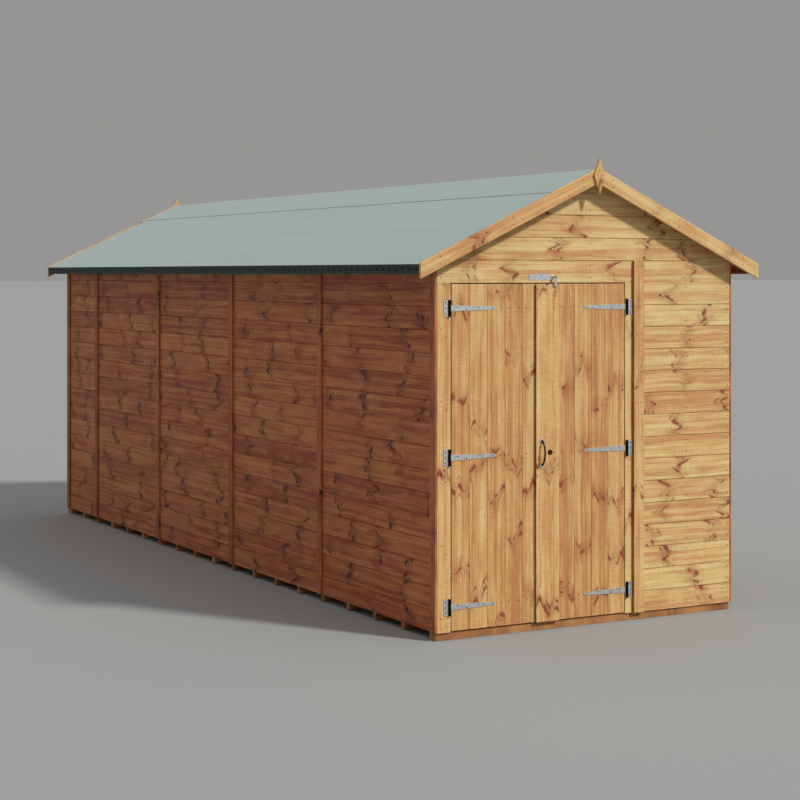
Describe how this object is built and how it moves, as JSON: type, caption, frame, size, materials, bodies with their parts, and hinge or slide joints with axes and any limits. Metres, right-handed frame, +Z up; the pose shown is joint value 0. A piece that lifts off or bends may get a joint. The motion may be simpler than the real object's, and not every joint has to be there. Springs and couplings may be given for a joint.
{
  "type": "garden_shed",
  "caption": "Wooden garden shed with a felted apex roof, shiplap walls and hinged double doors in the front gable",
  "frame": {"origin": "on the ground under the middle of the building's footprint", "axes": "+X to the right across the front gable, -Y out of the front gable with the doors, +Z up"},
  "size_m": [2.032, 5.576, 2.3278],
  "materials": {
    "wall_boards": "planed softwood cladding, dipped in golden stain",
    "door_boards": "planed softwood boards, dipped in golden stain",
    "trim_timber": "planed softwood battens, dipped in golden stain",
    "framing": "sawn softwood framing, dipped in golden stain",
    "inner_boards": "plain softwood boards",
    "bearer_timber": "sawn softwood bearers, treated against rot",
    "roof_felt": "bitumen felt with a grey-green mineral face",
    "eaves_felt": "bitumen felt folded down over the eaves",
    "galvanised_steel": "pressed steel, galvanised",
    "bright_plating": "bright plated steel",
    "plate_metal": "thin blank metal plate"
  },
  "bodies": {
    "shed": {"floor_bearers": "bearer_timber", "floor_boards": "inner_boards", "left_wall_boards": "wall_boards", "right_wall_boards": "wall_boards", "rear_wall_boards": "wall_boards", "front_gable_boards": "wall_boards", "front_panel_boards": "wall_boards", "door_posts": "wall_boards", "left_wall_rails": "framing", "left_wall_studs": "framing", "right_wall_rails": "framing", "right_wall_studs": "framing", "rear_wall_rails": "framing", "rear_wall_studs": "framing", "front_wall_rails": "framing", "front_wall_studs": "framing", "gable_rafters": "framing", "corner_trims": "trim_timber", "cover_battens": "trim_timber", "door_batten": "trim_timber", "ridge_beam": "framing", "roof_purlins": "framing", "left_roof_boards": "inner_boards", "right_roof_boards": "inner_boards", "left_roof_felt": "roof_felt", "right_roof_felt": "roof_felt", "ridge_felt": "roof_felt", "eaves_battens": "framing", "eaves_felt": "eaves_felt", "left_bargeboards": "trim_timber", "right_bargeboards": "trim_timber", "finials": "trim_timber", "hinge_plates": "galvanised_steel", "name_plate": "plate_metal"},
    "left_door": {"left_door_boards": "door_boards", "left_door_ledges": "framing", "left_door_braces": "framing", "left_door_straps": "galvanised_steel"},
    "right_door": {"right_door_boards": "door_boards", "meeting_board": "trim_timber", "right_door_ledges": "framing", "right_door_braces": "framing", "right_door_straps": "galvanised_steel", "pull_handle": "bright_plating"},
    "turn_button": {"turn_button": "bright_plating"}
  },
  "joints": [
    {"name": "left_door_hinge", "type": "hinge", "parent": "shed", "child": "left_door", "pos_m": [-0.8165, -2.7065, 0.874], "axis": [0, 0, -1], "range_deg": [0, 160]},
    {"name": "right_door_hinge", "type": "hinge", "parent": "shed", "child": "right_door", "pos_m": [0.2235, -2.7065, 0.874], "axis": [0, 0, 1], "range_deg": [0, 160]},
    {"name": "turn_button_pivot", "type": "hinge", "parent": "shed", "child": "turn_button", "pos_m": [-0.22, -2.705, 1.741], "axis": [0, -1, 0], "continuous": true}
  ]
}
